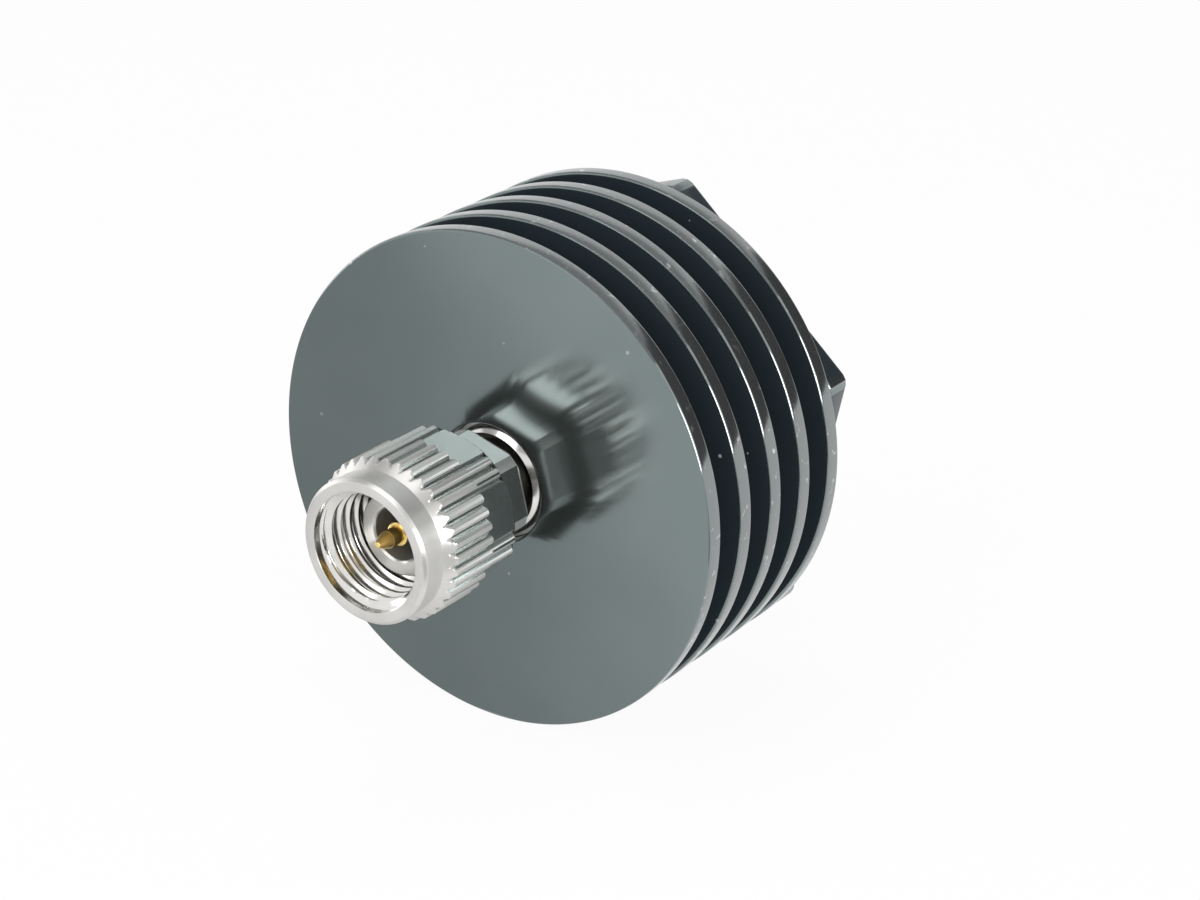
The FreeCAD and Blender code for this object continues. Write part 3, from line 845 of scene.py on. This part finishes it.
# Female body: stainless steel with a hexagonal flange against the heat sink's rear face.
# Its barrel is threaded 1/4-36 for a nut and counterbored for the sleeve of the next male port.
BODY_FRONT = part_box("female_body")[0][1] / MM
BARREL_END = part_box("female_body")[1][1] / MM
HEX_REAR = SINK_REAR + 2.00
HEX_RADIUS = 4.50
HEX_ACROSS = 8.0
HEX_BEVEL = 0.15
UNDERCUT_REAR = HEX_REAR + 0.60
UNDERCUT_RADIUS = 2.75
BARREL_RADIUS = 3.175
BARREL_BEVEL = 0.30
COUNTERBORE_FLOOR = BARREL_END - 1.90
COUNTERBORE_RADIUS = 2.32
FEMALE_SEAT = BODY_FRONT + BEAD_WIDTH


def barrel_outside(angle, along):
    """The lowest of the thread's groove and the bevel at the barrel's end."""
    share = thread_share((along - UNDERCUT_REAR) / THREAD_PITCH - angle / 360)
    bevel = BARREL_RADIUS - (along - (BARREL_END - BARREL_BEVEL))
    return min(BARREL_RADIUS - THREAD_DEPTH * share, bevel)


def female_body():
    """Rings go from the thread's end through counterbore and line to shank, hexagon and undercut."""
    angles = evenly(SHELL_STEPS, flat_edges(FLANGE_NORMALS, HEX_ACROSS, HEX_RADIUS))
    count = len(angles)
    end_radius = BARREL_RADIUS - BARREL_BEVEL
    corners = eased([
        (BARREL_END, end_radius), (BARREL_END, COUNTERBORE_RADIUS), (COUNTERBORE_FLOOR, COUNTERBORE_RADIUS),
        (COUNTERBORE_FLOOR, LINE_RADIUS), (FEMALE_SEAT, LINE_RADIUS), (FEMALE_SEAT, BEAD_SEAT),
        (BODY_FRONT, BEAD_SEAT), (BODY_FRONT, SHANK_RADIUS), (SINK_REAR, SHANK_RADIUS),
        (SINK_REAR, HEX_RADIUS - HEX_BEVEL), (SINK_REAR + HEX_BEVEL, HEX_RADIUS),
        (HEX_REAR - HEX_BEVEL, HEX_RADIUS), (HEX_REAR, HEX_RADIUS - HEX_BEVEL),
        (HEX_REAR, UNDERCUT_RADIUS), (UNDERCUT_REAR, UNDERCUT_RADIUS),
    ], SHELL_EASE)[ROUND_POINTS:-ROUND_POINTS]
    rings = [[(BARREL_END, end_radius)] * count]
    for along, radius in corners:
        if SINK_REAR - HAIR < along < HEX_REAR + HAIR and radius > SHANK_RADIUS + HEX_MARGIN:
            apothem = HEX_ACROSS / 2 - BEVEL_ON_FLAT * (HEX_RADIUS - radius)
            rings.append(milled_ring(along, radius, angles, FLANGE_NORMALS, apothem))
        else:
            rings.append([(along, radius)] * count)
    rings.append([(UNDERCUT_REAR, UNDERCUT_RADIUS)] * count)
    rings.append([(UNDERCUT_REAR, barrel_outside(angle, UNDERCUT_REAR)) for angle in angles])
    helix = helix_rows(UNDERCUT_REAR, BARREL_END, angles, barrel_outside)
    return threaded_skin("threaded_body", rings, helix, angles)


body = female_body()
body.data.materials.append(shell_steel)
mill_finish(body, FLANGE_NORMALS, HEX_ACROSS / 2, milled_steel)
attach(body, "body")
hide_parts("female_body")

# The setting: a pale sweep under the part, even light from a white tent and four soft lamps,
# cards that only the metal mirrors, and the camera of the photograph, close by and a little above.
SWEEP_LEVEL = -SINK_RADIUS
SWEEP_SIZE = 2.0
PAPER_WHITE = 0.92
PLAIN_SHARE = 0.95
TENT_STRENGTH = 0.55
LAMP_AIM = (0, 12, 0)
# Painted shade of the floor near the part, which only the metal mirrors.
PAINTED_FLOOR_SHADE = (0.60, 0.60, 0.60)
FADE_WHITE = (1.0, 1.0, 1.0)
FADE_RANGE = (-13, 20)
CARD_GAP = 0.15
CAMERA_AZIMUTH = 34.674
CAMERA_ELEVATION = 23.285
CAMERA_DISTANCE = 147.62
CAMERA_ACROSS = -5.814
CAMERA_UP = -1.734
SENSOR_WIDTH = 36.0
FOCAL_PIXELS = 2820.47
PHOTO_WIDTH = 1200
CLIP_START = 0.01


def backdrop_mix(tree, lit, shown):
    """Show the plain background to the camera and in reflections, and light the part with the other."""
    path = tree.nodes.new("ShaderNodeLightPath")
    seen = worked_out(tree, "MAXIMUM", path.outputs["Is Camera Ray"], path.outputs["Is Glossy Ray"])
    seen = worked_out(tree, "MAXIMUM", seen, path.outputs["Is Transmission Ray"])
    mix = tree.nodes.new("ShaderNodeMixShader")
    tree.links.new(seen, mix.inputs[0])
    tree.links.new(lit, mix.inputs[1])
    tree.links.new(shown, mix.inputs[2])
    return mix.outputs[0]


def tent():
    """A white world to the eye and in metal, and a softer one as light."""
    world = bpy.data.worlds.new("tent")
    world.use_nodes = True
    tree = world.node_tree
    lit = tree.nodes["Background"]
    lit.inputs["Color"].default_value = (1, 1, 1, 1)
    lit.inputs["Strength"].default_value = TENT_STRENGTH
    shown = tree.nodes.new("ShaderNodeBackground")
    shown.inputs["Color"].default_value = (1, 1, 1, 1)
    mixed = backdrop_mix(tree, lit.outputs[0], shown.outputs[0])
    tree.links.new(mixed, tree.nodes["World Output"].inputs["Surface"])
    bpy.context.scene.world = world


def sweep():
    """The pale floor: mostly plain white to the eye, with a share of real paper that keeps the shadow."""
    mesh = bpy.data.meshes.new("sweep")
    half = SWEEP_SIZE / 2
    level = SWEEP_LEVEL * MM
    corners = [(-half, -half, level), (half, -half, level), (half, half, level), (-half, half, level)]
    mesh.from_pydata(corners, [], [(0, 1, 2, 3)])
    floor = bpy.data.objects.new("sweep", mesh)
    bpy.context.scene.collection.objects.link(floor)
    paper = bpy.data.materials.new("sweep_paper")
    paper.use_nodes = True
    tree = paper.node_tree
    real = tree.nodes["Principled BSDF"]
    real.inputs["Base Color"].default_value = (PAPER_WHITE, PAPER_WHITE, PAPER_WHITE, 1)
    real.inputs["Roughness"].default_value = 1.0
    real.inputs["Specular IOR Level"].default_value = 0.0
    plain = tree.nodes.new("ShaderNodeEmission")
    plain.inputs["Color"].default_value = (1, 1, 1, 1)
    blend = tree.nodes.new("ShaderNodeMixShader")
    blend.inputs[0].default_value = PLAIN_SHARE
    tree.links.new(real.outputs[0], blend.inputs[1])
    tree.links.new(plain.outputs[0], blend.inputs[2])
    mixed = backdrop_mix(tree, real.outputs[0], blend.outputs[0])
    tree.links.new(mixed, tree.nodes["Material Output"].inputs["Surface"])
    mesh.materials.append(paper)


def lamp(name, place, size, power):
    """A soft square lamp that faces the middle of the part; the place is in millimetres."""
    light = bpy.data.lights.new(name, "AREA")
    light.size = size * MM
    light.energy = power
    holder = bpy.data.objects.new(name, light)
    holder.location = Vector(place) * MM
    aim = Vector(LAMP_AIM) * MM - holder.location
    holder.rotation_euler = aim.to_track_quat("-Z", "Y").to_euler()
    bpy.context.scene.collection.objects.link(holder)


def photo_camera():
    """The photograph's camera, given by its bearing from the middle of the heat sink's front face."""
    azimuth = math.radians(CAMERA_AZIMUTH)
    elevation = math.radians(CAMERA_ELEVATION)
    back = Vector((math.sin(azimuth) * math.cos(elevation), -math.cos(azimuth) * math.cos(elevation),
                   math.sin(elevation)))
    right = Vector((math.cos(azimuth), math.sin(azimuth), 0))
    up = back.cross(right)
    place = Vector((0, SINK_FRONT, 0)) + back * CAMERA_DISTANCE - right * CAMERA_ACROSS - up * CAMERA_UP
    lens = bpy.data.cameras.new("photo_camera")
    lens.sensor_width = SENSOR_WIDTH
    lens.lens = FOCAL_PIXELS * SENSOR_WIDTH / PHOTO_WIDTH
    lens.clip_start = CLIP_START
    camera = bpy.data.objects.new("photo_camera", lens)
    turn = Matrix((right, up, back)).transposed().to_4x4()
    camera.matrix_world = Matrix.Translation(place * MM) @ turn
    bpy.context.scene.collection.objects.link(camera)
    bpy.context.scene.camera = camera


def mirrored_card(name, corners, surface):
    """A card that only metal sees; the corners are in millimetres."""
    mesh = bpy.data.meshes.new(name)
    mesh.from_pydata([Vector(corner) * MM for corner in corners], [], [(0, 1, 2, 3)])
    mesh.materials.append(surface)
    card = bpy.data.objects.new(name, mesh)
    card.visible_camera = False
    card.visible_diffuse = False
    card.visible_shadow = False
    bpy.context.scene.collection.objects.link(card)


def flag(name, shade, corners):
    """A felt card of this grey."""
    felt = material(name + "_felt", (shade, shade, shade), metallic=0.0, roughness=1.0)[0]
    mirrored_card(name, corners, felt)


def floor_fade():
    """The floor as the metal sees it near the part, a glowing card: white in front and to the right, greyer
    to the left as painted shade.
    """
    fade = bpy.data.materials.new("floor_fade")
    fade.use_nodes = True
    tree = fade.node_tree
    where = tree.nodes.new("ShaderNodeTexCoord")
    split = tree.nodes.new("ShaderNodeSeparateXYZ")
    tree.links.new(where.outputs["Object"], split.inputs[0])
    aside = worked_out(tree, "SUBTRACT", split.outputs["X"], split.outputs["Y"])
    mask = in_range(tree, worked_out(tree, "MULTIPLY", aside, 1 / MM), *FADE_RANGE)
    glow = tree.nodes.new("ShaderNodeEmission")
    tree.links.new(blended(tree, mask, PAINTED_FLOOR_SHADE, FADE_WHITE), glow.inputs["Color"])
    tree.links.new(glow.outputs[0], tree.nodes["Material Output"].inputs["Surface"])
    level = SWEEP_LEVEL + CARD_GAP
    corners = [(-140, -150, level), (38, -150, level), (38, 8, level), (-140, 8, level)]
    mirrored_card("floor_fade", corners, fade)


tent()
sweep()
floor_fade()
lamp("front_lamp", (-26, -150, 126), size=116, power=0.095)
lamp("left_lamp", (-200, -60, 26), size=76, power=0.04)
lamp("right_lamp", (178, -88, 42), size=80, power=0.19)
lamp("top_lamp", (-60, 40, 260), size=140, power=0.15)
flag("rear_flag", shade=0.05,
     corners=[(40, 200, 0), (190, 110, 0), (190, 110, 130), (40, 200, 130)])
flag("ceiling_flag", shade=0.55,
     corners=[(-230, -240, 170), (170, -240, 170), (170, 220, 170), (-230, 220, 170)])
flag("front_flag", shade=0.06,
     corners=[(75, -198, -13), (168, -118, -13), (168, -118, 54), (75, -198, 54)])
flag("floor_flag", shade=0.08,
     corners=[(14, -18, -13.4), (20, -12, -13.4), (168, -118, -13.4), (75, -198, -13.4)])
photo_camera()

bpy.context.scene.view_settings.view_transform = "Standard"
